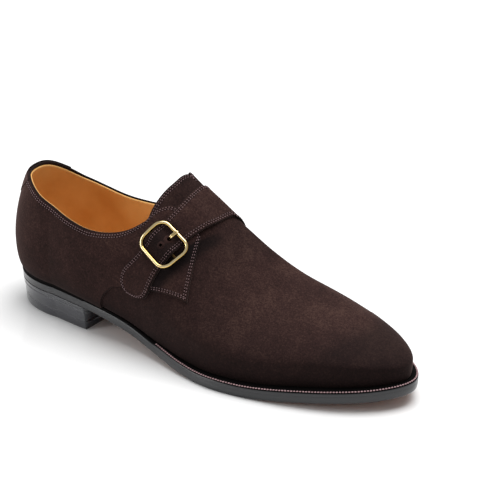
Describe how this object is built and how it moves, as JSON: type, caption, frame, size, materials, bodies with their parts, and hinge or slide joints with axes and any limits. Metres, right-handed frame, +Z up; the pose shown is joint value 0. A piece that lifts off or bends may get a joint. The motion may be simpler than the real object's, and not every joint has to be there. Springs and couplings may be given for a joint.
{
  "type": "monk strap shoe",
  "caption": "Low suede shoe for the right foot, with a plain front, a stacked heel and one strap over the instep held by a buckle.",
  "frame": {"origin": "middle of the bounding box on the floor that the shoe stands on", "axes": "+X from the heel to the toe, +Y to the inner side of the foot, +Z up"},
  "size_m": [0.306, 0.1046, 0.1096],
  "materials": {
    "suede": "dark brown suede",
    "lining_leather": "smooth orange tan",
    "sole_leather": "black edge dressing, tan underside",
    "welt_leather": "black, satin",
    "heel_leather": "black, polished",
    "heel_rubber": "black, matt",
    "buckle_brass": "pale gold, polished"
  },
  "bodies": {
    "root": {"outsole": "sole_leather", "welt": "welt_leather", "heel_rand": "welt_leather", "heel_stack": "heel_leather", "top_lift": "heel_rubber", "insole": "lining_leather", "upper": "suede", "tongue": "suede", "lateral_quarter": "suede", "medial_quarter_and_strap": "suede", "heel_tab": "suede", "buckle_frame": "buckle_brass", "buckle_prong": "buckle_brass", "buckle_tab": "suede"}
  },
  "joints": []
}
